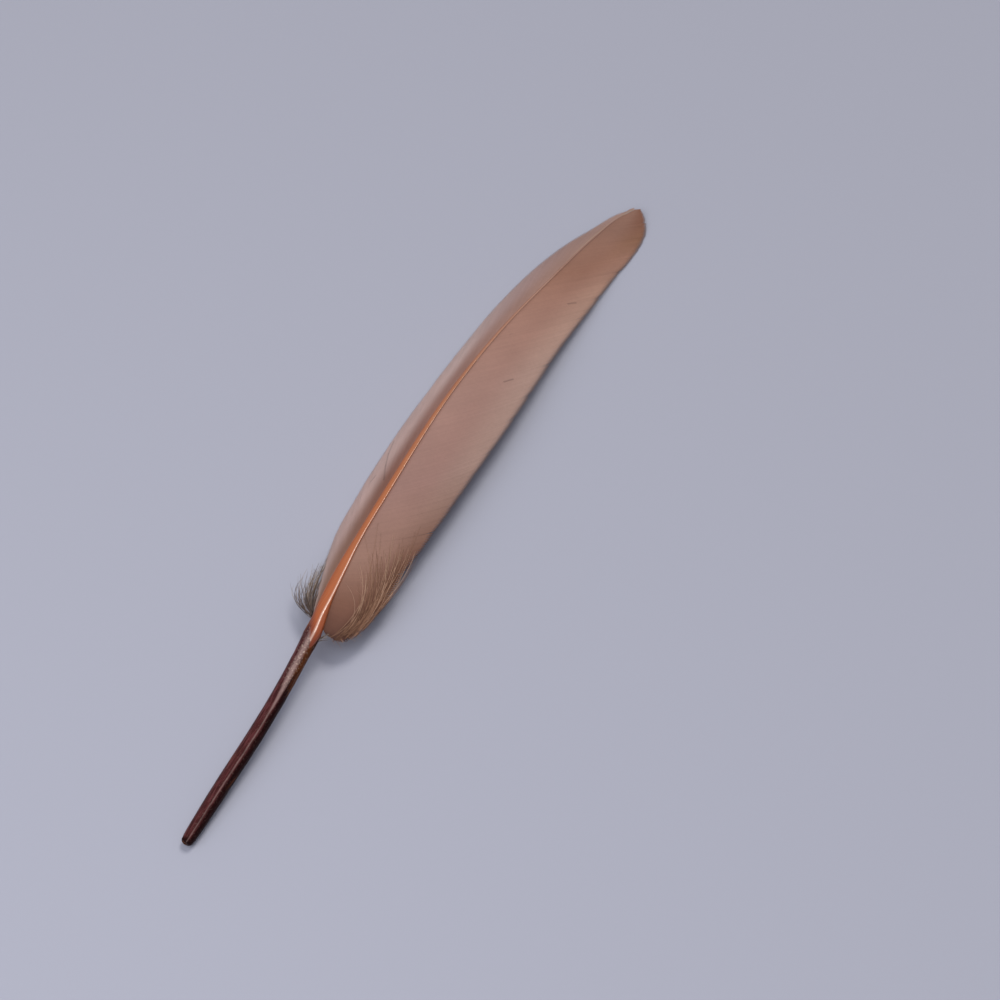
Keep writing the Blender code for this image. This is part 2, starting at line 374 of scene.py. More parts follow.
def make_shaft(y):
    """The closed tube through all the stations, with the three numbers that its material reads."""
    outlines = shaft_outlines(y)
    centre, side, up, width, height, depth = shaft_frame(y)
    across = outlines[:, :, :1] * side[:, None] * width[:, None, None] / 2
    reach = np.where(outlines[:, :, 1] > 0, height[:, None], depth[:, None])
    rise = (outlines[:, :, 1] * reach)[:, :, None] * up[:, None]
    rings = centre[:, None] + (across + rise) * unevenness(y)[:, :, None]
    ahead = np.cross(up[0], side[0])
    pit = [centre[0] + (rings[0] - centre[0]) * share + ahead * sink for share, sink in PIT_RINGS]
    rings = np.concatenate([pit, rings])
    station = np.concatenate([np.zeros(len(pit)), y])
    places = np.concatenate([np.repeat(outlines[:1], len(pit), axis=0), outlines])[:, :, 0]
    sheath_top = np.interp(places, *zip(*SHEATH_TOP))
    points = rings.reshape(-1, 3)
    faces = loft(rings)
    faces.append(tuple(reversed(range(POINTS_ROUND))))
    faces.append(tuple(range(len(points) - POINTS_ROUND, len(points))))
    mesh = bpy.data.meshes.new("shaft")
    mesh.from_pydata(in_place(points).tolist(), [], faces)
    store(mesh, "past_sheath", station[:, None] - sheath_top)
    store(mesh, "across", places)
    store(mesh, "along", np.repeat(station, POINTS_ROUND))
    mesh.shade_smooth()
    outward(mesh)
    return mesh


shaft_mesh = make_shaft(SHAFT_STATIONS)
print("the shaft has", len(shaft_mesh.polygons), "faces")

# %% [markdown]
# ### Keratin of the quill and the shaft
#
# Feather keratin is smooth and a little glossy. The quill took the dye deeply and is almost black
# brown, with red-brown patches, a pale, dull mauve band on its ridge that is partly rubbed wear and
# partly painted highlight, pale specks near its top and painted shade along its sides. The shaft is
# orange tan, is stained where it leaves the sheath, and pales to the tip; it has painted shade on
# its two sides and a painted highlight on its ridge.
# One material reads three numbers kept on the mesh: how far along a point is, how far past the
# sheath's torn top, and where it is across. Each layer of colour is a share from 0 to 1, worked out
# from those numbers and from noise of a real size, and the layers go on one after the other.

# %% Patterns and numbers that the keratin reads
# Short names for the kinds of node that come often.
MATH, VECTOR_MATH, RANGE = "ShaderNodeMath", "ShaderNodeVectorMath", "ShaderNodeMapRange"
NOISE, MIX, RAMP = "ShaderNodeTexNoise", "ShaderNodeMix", "ShaderNodeValToRGB"
ATTRIBUTE = "ShaderNodeAttribute"
SMOOTH = {"interpolation_type": "SMOOTHSTEP"}      # a range that eases in and out

# Dyed keratin: IOR about 1.54, polished by handling, so it draws a narrow bright line on the ridge.
KERATIN_IOR = 1.54
STREAK_SIZE, PATCH_SIZE, SPECK_SIZE = 0.35 * MM, 1.6 * MM, 0.28 * MM
STREAK_STRETCH = 0.12                              # streaks and patches are about eight times as long as wide
keratin, tree, shader = new_material("polished_dyed_keratin", IOR=KERATIN_IOR)
position = add(tree, "ShaderNodeTexCoord").outputs["Object"]
lengthwise = add(tree, "ShaderNodeMapping", {"Vector": position, "Scale": (1.0, STREAK_STRETCH, 1.0)})
# Place, size, detail and roughness of each pattern.
KERATIN_PATTERNS = ((lengthwise, STREAK_SIZE, 4.0, 0.6), (lengthwise, PATCH_SIZE, 3.0, 0.55),
                    (position, SPECK_SIZE, 4.0, 0.65))
streaks, patches, specks = [
    add(tree, NOISE, {"Vector": place, "Scale": 1 / size, "Detail": detail, "Roughness": roughness})
    for place, size, detail, roughness in KERATIN_PATTERNS]
along, past, across = [add(tree, ATTRIBUTE, attribute_name=name).outputs["Fac"]
                       for name in ("along", "past_sheath", "across")]
print("the keratin's streaks are", round(STREAK_SIZE / MM, 2), "mm wide and its specks",
      round(SPECK_SIZE / MM, 2), "mm")

# %% The dark quill's colour
QUILL_BROWNS = ((0.32, "#311414"), (0.5, "#4a2323"), (0.7, "#613032"))
quill_colour = add(tree, RAMP, (streaks,), stops=QUILL_BROWNS)

# Painted shade, darkest on the side under the wide vane and along the other edge; the quill is also darker at
# its blunt end.
painted_shade_under_vane = add(tree, RANGE, (across, 0.42, 0.7, 0.0, 0.85), **SMOOTH)
painted_shade_other_edge = add(tree, RANGE, (across, -0.8, -0.95, 0.0, 0.7), **SMOOTH)
blunt_end = add(tree, RANGE, (along, 1.0, 0.2, 0.0, 0.9), **SMOOTH)
painted_shade_and_dark_end = add(tree, MATH, (painted_shade_under_vane, painted_shade_other_edge), operation="MAXIMUM")
painted_shade_and_dark_end = add(tree, MATH, (painted_shade_and_dark_end, blunt_end), operation="MAXIMUM")

# Red-brown patches: more of them near the top, and fainter under the painted shade.
nearer_top = add(tree, RANGE, (along, 20.0, 34.0), **SMOOTH)
raised = add(tree, MATH, (nearer_top, 0.1, patches), operation="MULTIPLY_ADD")
patchy = add(tree, RANGE, (raised, 0.58, 0.7), **SMOOTH)
less_in_shade = add(tree, RANGE, (painted_shade_and_dark_end, 0.0, 0.85, 1.0, 0.45), **SMOOTH)
patchy = add(tree, MATH, (patchy, less_in_shade), operation="MULTIPLY")

# A pale, dull mauve band on the ridge, partly rubbed wear and partly painted highlight, which widens and
# strengthens towards the top.
ridge_across = add(tree, RANGE, (along, 24.0, 31.0, 0.33, 0.16), **SMOOTH)
from_ridge = add(tree, MATH, (across, ridge_across), operation="SUBTRACT")
off_ridge = add(tree, MATH, (from_ridge,), operation="ABSOLUTE")
band_width = add(tree, RANGE, (along, 21.0, 31.0, 0.14, 0.58), **SMOOTH)
across_band = add(tree, MATH, (off_ridge, band_width), operation="DIVIDE")
rubbed_and_painted_highlight = add(tree, RANGE, (across_band, 1.0, 0.1), **SMOOTH)
ridge_band_streaks = add(tree, RANGE, (streaks, 0.3, 0.6, 0.45, 0.85), **SMOOTH)
more_at_top = add(tree, RANGE, (along, 20.0, 29.0, 0.45, 1.15), **SMOOTH)
for share in (ridge_band_streaks, more_at_top):
    rubbed_and_painted_highlight = add(tree, MATH, (rubbed_and_painted_highlight, share), operation="MULTIPLY")

# Pale specks where the glaze is knocked off, nearly all of them close under the sheath's top.
scuffed = add(tree, RANGE, (specks, 0.55, 0.64), **SMOOTH)
under_top = add(tree, RANGE, (along, 25.0, 31.0, 0.08, 0.9), **SMOOTH)
near_ridge = add(tree, RANGE, (off_ridge, 0.7, 0.2, 0.2, 1.0), **SMOOTH)
for share in (under_top, near_ridge):
    scuffed = add(tree, MATH, (scuffed, share), operation="MULTIPLY")

QUILL_LAYERS = ((painted_shade_and_dark_end, "#150606"), (patchy, "#7a4420"), (rubbed_and_painted_highlight, "#957b76"), (scuffed, "#c2aa9c"))
for share, hex_colour in QUILL_LAYERS:
    sockets = {0: share, 6: quill_colour, 7: linear(hex_colour)}
    quill_colour = add(tree, MIX, sockets, data_type="RGBA").outputs[2]
print("the quill's brown lies under", len(QUILL_LAYERS), "layers")

# %% The tan shaft's colour
SHAFT_TANS = ((0.0, "#a5481c"), (0.08, "#b96437"), (0.3, "#bd7246"), (0.55, "#b57a59"), (0.8, "#b18b79"),
              (0.9, "#a17c6c"), (1.0, "#8f6b5c"))
share_along = add(tree, RANGE, (along, 34.0, 134.0))
shaft_colour = add(tree, RAMP, (share_along,), stops=SHAFT_TANS)
streaked = add(tree, RANGE, (streaks, 0.35, 0.75, 0.0, 0.3), **SMOOTH)
# Painted shade on the shaft's leading side.
painted_shade_leading_side = add(tree, RANGE, (across, 0.1, -0.85, 0.0, 0.5), **SMOOTH)
stained = add(tree, RANGE, (past, 3.2, 0.1, 0.0, 0.8), **SMOOTH)

# Painted highlight: the ridge is paler from the sheath to where the shaft gets thin, and it moves across as
# the outline's does.
ridge_at = add(tree, RANGE, (along, *RIDGE_MOVES, 0.34, 0.75), **SMOOTH)
from_shine = add(tree, MATH, (across, ridge_at), operation="SUBTRACT")
off_shine = add(tree, MATH, (from_shine,), operation="ABSOLUTE")
on_shine = add(tree, RANGE, (off_shine, 0.24, 0.04), **SMOOTH)
low_down = add(tree, RANGE, (along, 50.0, 62.0, 0.5, 0.0), **SMOOTH)
painted_ridge_highlight = add(tree, MATH, (on_shine, low_down), operation="MULTIPLY")
# Painted shade on the shaft's far side, by the wide vane's roots.
painted_shade_far_side = add(tree, RANGE, (across, 0.9, 0.97, 0.0, 0.45), **SMOOTH)

SHAFT_LAYERS = ((streaked, "#8e4a24"), (painted_shade_leading_side, "#8b4218"), (stained, "#74321a"),
                (painted_ridge_highlight, "#e3b8a4"), (painted_shade_far_side, "#8a3d16"))
for share, hex_colour in SHAFT_LAYERS:
    sockets = {0: share, 6: shaft_colour, 7: linear(hex_colour)}
    shaft_colour = add(tree, MIX, sockets, data_type="RGBA").outputs[2]
print("the shaft's tan lies under", len(SHAFT_LAYERS), "layers")

# %% The sheath's torn edge, the gloss and the relief
# Noise moves the edge by about a millimetre. It is sharp beside the wide vane and soft on the other side.
small_tears = add(tree, MATH, (streaks, 1.6, -0.8), operation="MULTIPLY_ADD")
large_tears = add(tree, MATH, (patches, 2.0, -1.0), operation="MULTIPLY_ADD")
ragged = past
for tears in (small_tears, large_tears):
    ragged = add(tree, MATH, (ragged, tears), operation="ADD")
softness = add(tree, RANGE, (across, 0.3, -0.4, 0.2, 0.9), **SMOOTH)
past_edge = add(tree, MATH, (ragged, softness), operation="DIVIDE")
out_of_sheath = add(tree, RANGE, (past_edge, -0.6, 1.0), **SMOOTH)
sockets = {0: out_of_sheath, 6: quill_colour, 7: shaft_colour}
keratin_colour = add(tree, MIX, sockets, data_type="RGBA").outputs[2]

# Scuffs and the ridge's band, partly rubbed wear and partly painted highlight, are duller; the shaft is
# glossier than the dyed quill, and the quill is less glossy under its painted shade.
streaked_rough = add(tree, RANGE, (streaks, 0.3, 0.8, 0.22, 0.34), **SMOOTH)
worn_and_highlit = add(tree, MATH, (scuffed, rubbed_and_painted_highlight), operation="MAXIMUM")
worn_rough = add(tree, RANGE, (out_of_sheath, 0.0, 1.0, 0.25, 0.0), **SMOOTH)
roughness = add(tree, MATH, (worn_and_highlit, worn_rough, streaked_rough), operation="MULTIPLY_ADD")
quill_gloss = add(tree, RANGE, (painted_shade_and_dark_end, 0.0, 0.85, 0.15, 0.04), **SMOOTH)
gloss = add(tree, RANGE, (out_of_sheath, 0.0, 1.0, quill_gloss, 0.8), **SMOOTH)

# The sheath stands a little over the shaft that comes out of it.
sheath_step = add(tree, MATH, (out_of_sheath, -0.8), operation="MULTIPLY")
relief = add(tree, MATH, (streaks, 0.5, sheath_step), operation="MULTIPLY_ADD")
bump = add(tree, "ShaderNodeBump", {"Strength": 0.35, "Distance": 0.03 * MM, "Height": relief})
feed(tree, shader, {"Base Color": keratin_colour, "Roughness": roughness, "Specular IOR Level": gloss,
                    "Normal": bump})
shaft_mesh.materials.append(keratin)
shaft = bpy.data.objects.new("shaft", shaft_mesh)
bpy.context.scene.collection.objects.link(shaft)
print("the keratin has", len(tree.nodes), "nodes")

# %% [markdown]
# ## Barbs
#
# A vane is a few hundred barbs, side by side, hooked together by barbules far too small to see.
# Each barb is a thin blade with a ridge along its top, it leaves the shaft at an angle and bends
# towards the feather's tip. What repeats is one blade, so Geometry Nodes make it: a point for each
# barb carries where the barb starts, bends and ends, and how far off its neighbours are. The tree
# puts a plain rod on each point, makes the rods real, and moves every ring of each rod onto its
# barb's curve. Blades meet their neighbours because each is as wide as the distance to them.

# %% The barb tree
BARB_VECTORS = ("root", "bend", "tip", "root_step", "bend_step", "tip_step")
BARB_NUMBERS = ("out", "across", "above", "lift")
STORE = "GeometryNodeStoreNamedAttribute"
# Name, kind of socket, and the value unless a piece gives its own.
BARB_INPUTS = (("Sides", "Int", 4), ("Rings", "Int", 18), ("Overlap", "Float", 1.12),
               ("Ridge Height", "Float", 0.016 * MM), ("Taper From", "Float", 0.9),
               ("Tip Width", "Float", 0.3), ("Ruffle", "Float", 0.02 * MM), ("Seed", "Int", 1))
BLADE_EDGE = 0.99            # points further out across the rod than this are on the blade's edge


def curve_nodes(tree, start, middle, end, along):
    """A curve through three vectors: its point and its direction."""
    between = [start, middle, end]
    while len(between) > 1:
        ends = between
        between = [add(tree, MIX, {0: along, 4: low, 5: high}, data_type="VECTOR").outputs[1]
                   for low, high in zip(ends, ends[1:])]
    return between[0], add(tree, VECTOR_MATH, (ends[1], ends[0]), operation="SUBTRACT")


def barb_tree():
    tree = bpy.data.node_groups.new("barbs", "GeometryNodeTree")
    face = tree.interface
    face.new_socket("Geometry", in_out="INPUT", socket_type="NodeSocketGeometry")
    for name, kind, value in BARB_INPUTS:
        face.new_socket(name, in_out="INPUT", socket_type="NodeSocket" + kind).default_value = value
    face.new_socket("Material", in_out="INPUT", socket_type="NodeSocketMaterial")
    face.new_socket("Geometry", in_out="OUTPUT", socket_type="NodeSocketGeometry")
    given = add(tree, "NodeGroupInput").outputs

    # One rod, a unit long, that keeps where each of its points is across, above and out along it.
    rod = add(tree, "GeometryNodeMeshCylinder", {"Vertices": given["Sides"], "Side Segments": given["Rings"],
                                                 "Radius": 1.0, "Depth": 1.0}, fill_type="NGON")
    place = add(tree, "ShaderNodeSeparateXYZ", (add(tree, "GeometryNodeInputPosition"),)).outputs
    from_end = add(tree, MATH, (place["Z"], 0.5), operation="ADD")
    for name, value in (("across", place["X"]), ("above", place["Y"]), ("out", from_end)):
        rod = add(tree, STORE, {"Geometry": rod, "Name": name, "Value": value})

    # Each barb's own chance numbers, one for its colour and one for its height. Then the rods are made real.
    points = given["Geometry"]
    for name, low, offset in (("shade", 0.0, 0.0), ("lift", -1.0, 7.0)):
        seed = add(tree, MATH, (given["Seed"], offset), operation="ADD")
        sockets = {2: low, 3: 1.0, "Seed": seed}
        chance = add(tree, "FunctionNodeRandomValue", sockets, data_type="FLOAT").outputs[1]
        points = add(tree, STORE, {"Geometry": points, "Name": name, "Value": chance})
    rods = add(tree, "GeometryNodeInstanceOnPoints", {"Points": points, "Instance": rod})
    barbs = add(tree, "GeometryNodeRealizeInstances", {"Geometry": rods})

    # The curve through root, bend and tip, and the way to the next barb at each place along it.
    kinds = [(name, "FLOAT_VECTOR") for name in BARB_VECTORS] + [(name, "FLOAT") for name in BARB_NUMBERS]
    *vectors, out, across, above, lift = [
        add(tree, "GeometryNodeInputNamedAttribute", {"Name": name}, data_type=kind).outputs["Attribute"]
        for name, kind in kinds]
    centre, heading = curve_nodes(tree, *vectors[:3], out)
    step, _ = curve_nodes(tree, *vectors[3:], out)
    normal = add(tree, VECTOR_MATH, (step, heading), operation="CROSS_PRODUCT")
    normal = add(tree, VECTOR_MATH, (normal,), operation="NORMALIZE")
    taper = add(tree, RANGE, (out, given["Taper From"], 1.0, 1.0, given["Tip Width"]))

    # Half a blade's width, its ridge's height and its waver are each a product.
    lengths = []
    for length, *factors in ((taper, 0.5, given["Overlap"], across), (above, given["Ridge Height"], taper),
                             (lift, given["Ruffle"], out)):
        for factor in factors:
            length = add(tree, MATH, (length, factor), operation="MULTIPLY")
        lengths.append(length)
    half, ridge, waver = lengths
    high = add(tree, MATH, (ridge, waver), operation="ADD")
    sideways = add(tree, VECTOR_MATH, {0: step, "Scale": half}, operation="SCALE")
    upward = add(tree, VECTOR_MATH, {0: normal, "Scale": high}, operation="SCALE")
    moved = add(tree, VECTOR_MATH, (centre, sideways), operation="ADD")
    moved = add(tree, VECTOR_MATH, (moved, upward), operation="ADD")
    barbs = add(tree, "GeometryNodeSetPosition", {"Geometry": barbs, "Position": moved})

    # Smooth along the barb, sharp where two blades meet.
    off_middle = add(tree, MATH, (across,), operation="ABSOLUTE")
    edge = add(tree, MATH, (off_middle, BLADE_EDGE), operation="GREATER_THAN")
    smooth_edge = add(tree, "FunctionNodeBooleanMath", (edge,), operation="NOT")
    for domain, smooth in (("FACE", True), ("EDGE", smooth_edge)):
        sockets = {"Geometry": barbs, "Shade Smooth": smooth}
        barbs = add(tree, "GeometryNodeSetShadeSmooth", sockets, domain=domain)
    for name in BARB_VECTORS + ("lift",):
        barbs = add(tree, "GeometryNodeRemoveAttribute", {"Geometry": barbs, "Name": name})
    done = add(tree, "GeometryNodeSetMaterial", {"Geometry": barbs, "Material": given["Material"]})
    add(tree, "NodeGroupOutput", {"Geometry": done})
    return tree


BARBS = barb_tree()
print("the barb tree has", len(BARBS.nodes), "nodes")

# %% A function that grows a piece from its barbs
def grow(name, vectors, numbers, material, **inputs):
    """Makes a piece from its barbs: six vectors each, in mm, and any numbers that its material reads."""
    mesh = bpy.data.meshes.new(name + "_roots")
    mesh.from_pydata(in_place(vectors["root"]).tolist(), [], [])
    for key in BARB_VECTORS:
        values = vectors[key] * MM if key.endswith("step") else in_place(vectors[key])
        store(mesh, key, values, "FLOAT_VECTOR", "vector")
    for key, values in numbers.items():
        store(mesh, key, values)
    roots = bpy.data.objects.new(name + "_roots", mesh)
    bpy.context.scene.collection.objects.link(roots)
    modifier = roots.modifiers.new("barbs", "NODES")
    modifier.node_group = BARBS
    sockets = {item.name: item.identifier for item in BARBS.interface.items_tree if item.in_out == "INPUT"}
    for key, value in dict(inputs, Material=material).items():
        modifier[sockets[key.replace("_", " ")]] = value
    evaluated = roots.evaluated_get(bpy.context.evaluated_depsgraph_get())
    grown = bpy.data.meshes.new_from_object(evaluated)
    grown.name = name
    bpy.data.objects.remove(roots)
    piece = bpy.data.objects.new(name, grown)
    bpy.context.scene.collection.objects.link(piece)
    triangles = sum(len(face.vertices) - 2 for face in grown.polygons)
    print(name, "has", len(vectors["root"]), "barbs and", triangles, "triangles")
    return piece


def steps_between(points):
    """Half the way from the barb before to the barb after, at one point of every barb."""
    return np.gradient(points, axis=0)


# %% [markdown]
# ## The two vanes
#
# Barbs sit about 0.4 mm apart along the shaft on a duck's wing feather, and closer at the base
# where they turn back round the lobe. The hooks hold them in locks: inside a lock the barbs draw
# together a little at the edge, and between two locks the edge shows a fine split. Roots, bends
# and tips come from the tables above, so the vanes lie where the solid has them.

# %% Where the barbs of a vane start
BARB_PITCH = 0.40
ROOT_SAMPLES = 4000                    # places along the shaft at which the barbs' spacing is added up
ROOT_SINK = 0.7                        # share of the shaft's half-width at which a barb's visible part starts
# The y, and how far up the ridge the trailing roots sit there, as a share of its height over the middle
TRAILING_ROOT_RISE = ((40.0, 0.0), (45.0, 0.55), (90.0, 0.4))


def barb_roots(rows, first, last):
    """Root places spaced so that neither roots nor tips are more than a pitch apart."""
    y = np.linspace(first, last, ROOT_SAMPLES)
    tips = read_rows(rows, y)
    travel = np.linalg.norm(np.gradient(tips, y, axis=0), axis=1)
    count = np.concatenate([[0], np.cumsum(np.maximum(travel, 1.0)[1:] * np.diff(y))]) / BARB_PITCH
    return np.interp(np.arange(int(count[-1]) + 1), count, y)


def root_points(y, side):
    """Where the barbs leave the shaft: side is 1 for the trailing vane and -1 for the leading one."""
    centre, sideways, up, width, height, _ = shaft_frame(y)
    root = centre + sideways * side * width[:, None] / 2 * ROOT_SINK
    if side == 1:
        root += up * (height * np.interp(y, *zip(*TRAILING_ROOT_RISE)))[:, None]
    return root


def lock_edges(first, last, low, high, seed):
    """Where a vane's locks begin and end along the shaft, each between low and high mm long."""
    chance = np.random.default_rng(seed)
    edges = [first]
    while edges[-1] < last:
        edges.append(edges[-1] + chance.uniform(low, high))
    return np.array(edges)


TRAILING_FIRST, LEADING_FIRST, VANE_END = 38.3, 38.2, 137.5
trailing_locks = lock_edges(TRAILING_FIRST, VANE_END, low=3.0, high=9.0, seed=4)
leading_locks = lock_edges(LEADING_FIRST, VANE_END, low=5.0, high=14.0, seed=9)
print("the trailing vane has", len(trailing_locks) - 1, "locks and the leading one", len(leading_locks) - 1)

# %% How the barbs of a vane bend and end
TRAILING_BEND = (0.58, 0.42, 0.22)     # how much of the way across, along and down is done at the bend
LEADING_BEND = (0.55, 0.45, 0.30)
EDGE_DROP = 0.12                       # the barbs lie under the solid's middle at the vane's edge
NOTCH_SHARPNESS = 8                    # high, so that only a lock's outermost barbs are cut short
LOCK_TILT = 0.04                       # mm that a lock's edge is tilted up or down
TIP_STRAY = 0.12                       # mm that a single barb may stop short
LEAST_LEFT = 0.5                       # share of its length that every barb keeps


def vane(rows, bend, side, first, locks, gather_range, notch_range, seed):
    """The six vectors of every barb of one vane, and the numbers that its material reads.

    A lock's barbs gather towards its middle at the edge, and its outermost ones are cut short, in mm."""
    chance = np.random.default_rng(seed)
    y = barb_roots(rows, first, VANE_END)
    root = root_points(y, side)
    lock = np.clip(np.searchsorted(locks, y, side="right") - 1, 0, len(locks) - 2)
    middle = (locks[lock] + locks[lock + 1]) / 2
    half = (locks[lock + 1] - locks[lock]) / 2
    offset = (y - middle) / half
    gather = chance.uniform(*gather_range, len(locks))[lock]
    notch = chance.uniform(*notch_range, len(locks))[lock] * np.abs(offset) ** NOTCH_SHARPNESS
    tip = read_rows(rows, y - offset * gather)
    tip[:, 2] -= EDGE_DROP
    tip[:, 2] += chance.uniform(-LOCK_TILT, LOCK_TILT, len(locks))[lock] * offset
    way = tip - root
    length = np.linalg.norm(way, axis=1, keepdims=True)
    short = notch[:, None] + chance.uniform(0.0, TIP_STRAY, (len(y), 1))
    way = way * np.maximum(1 - short / length, LEAST_LEFT)
    vectors = {"root": root, "bend": root + way * np.array(bend), "tip": root + way}
    for key in ("root", "bend", "tip"):
        vectors[key + "_step"] = steps_between(vectors[key]) * -side
    return vectors, {"base": y, "long": length[:, 0], "lock": chance.uniform(0, 1, len(locks))[lock]}


trailing_barbs, trailing_numbers = vane(TRAILING_BARBS, TRAILING_BEND, 1, TRAILING_FIRST, trailing_locks,
                                        gather_range=(0.0, 0.07), notch_range=(0.05, 0.4), seed=12)
leading_barbs, leading_numbers = vane(LEADING_BARBS, LEADING_BEND, -1, LEADING_FIRST, leading_locks,
                                      gather_range=(0.0, 0.02), notch_range=(0.0, 0.1), seed=21)
for name, numbers in (("trailing", trailing_numbers), ("leading", leading_numbers)):
    print("the longest", name, "barb reaches", round(numbers["long"].max(), 1), "mm")

# %% [markdown]
# ### The vanes' finish
#
# Dyed barbs are matt to satin and slightly sheeny, and the vane's colour shifts along it: darker
# brown at the base, taupe in the middle, paler to the edge. The darkest brown at the wide vane's base
# is partly painted shade, and the narrow vane's pale grey-mauve edge is partly painted sheen. On top
# of that lie four scales of detail: soft mottling a few mm across, streaks that follow the barbs, a
# felt grain of half a millimetre with a few dark flecks, and the faint crossing hatch of the barbules.
# Real barbules are 0.02 mm apart, which no photograph at this distance shows, so the hatch is drawn at
# 0.25 mm, the coarsest that still reads as one. A few short pressed lines and a split, seen in the
# photograph, are drawn as darker lines between named points; in the folds and the split that
# darkness is painted shade.

# %% Pressed lines and a split
# Each line runs between two points (x, y): two on the wide vane, then a split in three stretches and a
# mark on the narrow one.
CREASES = (((-0.12, 91.67), (0.71, 93.05)), ((0.28, 112.11), (1.09, 113.29)),
           ((-10.64, 75.69), (-9.68, 72.42)), ((-9.68, 72.42), (-8.32, 69.3)),
           ((-8.32, 69.3), (-6.66, 66.04)), ((-9.34, 66.43), (-9.12, 67.66)))
CREASE_SHADE = -0.3                    # how much darker a line is
CREASE_FADE = (0.2 * MM, 0.05 * MM)    # how far beside a line its shade begins, and where it is full


def crease(tree, place, first, last):
    """1 on a short pressed line between two points of the vane, in mm, and 0 beside it."""
    start, end = [Vector(in_place((*point, 0))) * Vector((1, 1, 0)) for point in (first, last)]
    way = end - start
    from_start = add(tree, VECTOR_MATH, (place, start), operation="SUBTRACT")
    sockets = (from_start, way / way.length_squared)
    share = add(tree, VECTOR_MATH, sockets, operation="DOT_PRODUCT").outputs["Value"]
    share = add(tree, MATH, (share, 0.0), operation="MAXIMUM")
    share = add(tree, MATH, (share, 1.0), operation="MINIMUM")
    nearest = add(tree, VECTOR_MATH, {0: way, "Scale": share}, operation="SCALE")
    apart = add(tree, VECTOR_MATH, (from_start, nearest), operation="DISTANCE").outputs["Value"]
    return add(tree, RANGE, (apart, *CREASE_FADE), **SMOOTH)


print(len(CREASES), "pressed lines, the longest",
      round(max(math.dist(*ends) for ends in CREASES), 1), "mm")

# %% Material of a vane
HATCH_PITCH = 0.25                     # mm, drawn coarser than the real barbules
MOTTLE_SIZE, FELT_SIZE = 7.0 * MM, 0.5 * MM
STREAK_SCALE = (0.9, 0.09, 0.0)        # noise per mm along the shaft and out along the barb
FLECK_SCALE = (2.4, 0.8, 0.0)
VANE_SPAN = (38.0, 138.0)              # y at the two ends of the colour ramps
FLECKS_FROM = (44.0, 50.0)             # the lobe at the base has no flecks


def vane_material(name, inner, outer, edge_at, streakiness):
    """Dyed barbs, satin and a little sheeny: the sheen pales the vane where it turns away."""
    material, tree, shader = new_material(name, Roughness=0.6, IOR=KERATIN_IOR, Specular_IOR_Level=0.25,
                                          Sheen_Weight=0.08, Sheen_Roughness=0.4)
    position = add(tree, "ShaderNodeTexCoord").outputs["Object"]
    base, out, long, shade, lock = [add(tree, ATTRIBUTE, attribute_name=key).outputs["Fac"]
                                    for key in ("base", "out", "long", "shade", "lock")]

    # The colour goes from that beside the shaft to that at the edge, and both shift along the vane.
    along = add(tree, RANGE, (base, *VANE_SPAN))
    outer_share = add(tree, RANGE, (out, *edge_at), **SMOOTH)
    inner_colour = add(tree, RAMP, (along,), stops=inner)
    outer_colour = add(tree, RAMP, (along,), stops=outer)
    sockets = {0: outer_share, 6: inner_colour, 7: outer_colour}
    colour = add(tree, MIX, sockets, data_type="RGBA").outputs[2]

    # Each pattern lightens or darkens by half its strength at most.
    reach = add(tree, MATH, (out, long), operation="MULTIPLY")
    on_vane = add(tree, "ShaderNodeCombineXYZ", (base, reach))
    streak_place = add(tree, VECTOR_MATH, (on_vane, STREAK_SCALE), operation="MULTIPLY")
    fleck_place = add(tree, VECTOR_MATH, (on_vane, FLECK_SCALE), operation="MULTIPLY")
    patterns = ((streak_place, 1.0, 4.0, 0.6), (position, 1 / MOTTLE_SIZE, 2.0, 0.5),
                (position, 1 / FELT_SIZE, 2.0, 0.6), (fleck_place, 1.0, 2.0, 0.5))
    streaks, mottle, felt, specks = [
        add(tree, NOISE, {"Vector": place, "Scale": scale, "Detail": detail, "Roughness": roughness})
        for place, scale, detail, roughness in patterns]
    strengths = ((streaks, streakiness), (mottle, 0.24), (felt, 0.14), (shade, 0.05), (lock, 0.04))
    shades = [add(tree, MATH, (pattern, strength, 1 - strength / 2), operation="MULTIPLY_ADD")
              for pattern, strength in strengths]

    # Flecks and pressed lines only darken; in the folds and the split that darkening is painted shade.
    flecks = add(tree, RANGE, (specks, 0.72, 0.8, 0.0, -0.28), **SMOOTH)
    past_base = add(tree, RANGE, (base, *FLECKS_FROM), **SMOOTH)
    shades.append(add(tree, MATH, (flecks, past_base, 1.0), operation="MULTIPLY_ADD"))
    flat = add(tree, "ShaderNodeMapping", {"Vector": position, "Scale": (1.0, 1.0, 0.0)})
    for ends in CREASES:
        pressed = crease(tree, flat, *ends)
        shades.append(add(tree, MATH, (pressed, CREASE_SHADE, 1.0), operation="MULTIPLY_ADD"))
    light = shades[0]
    for factor in shades[1:]:
        light = add(tree, MATH, (light, factor), operation="MULTIPLY")
    shaded_colour = add(tree, VECTOR_MATH, {0: colour, "Scale": light}, operation="SCALE")

    # The barbules' hatch crosses the barbs at a slant and fades out beside the shaft.
    slant = add(tree, MATH, (reach, base), operation="ADD")
    turns = add(tree, MATH, (slant, 2 * math.pi / HATCH_PITCH), operation="MULTIPLY")
    wave = add(tree, MATH, (turns,), operation="SINE")
    strength = add(tree, RANGE, (out, 0.1, 0.6, 0.2, 1.0), **SMOOTH)
    hatch = add(tree, MATH, (wave, strength), operation="MULTIPLY")
    bump = add(tree, "ShaderNodeBump", {"Strength": 0.25, "Distance": 0.02 * MM, "Height": hatch})
    feed(tree, shader, {"Base Color": shaded_colour, "Normal": bump})
    print(name, "has", len(tree.nodes), "nodes")
    return material
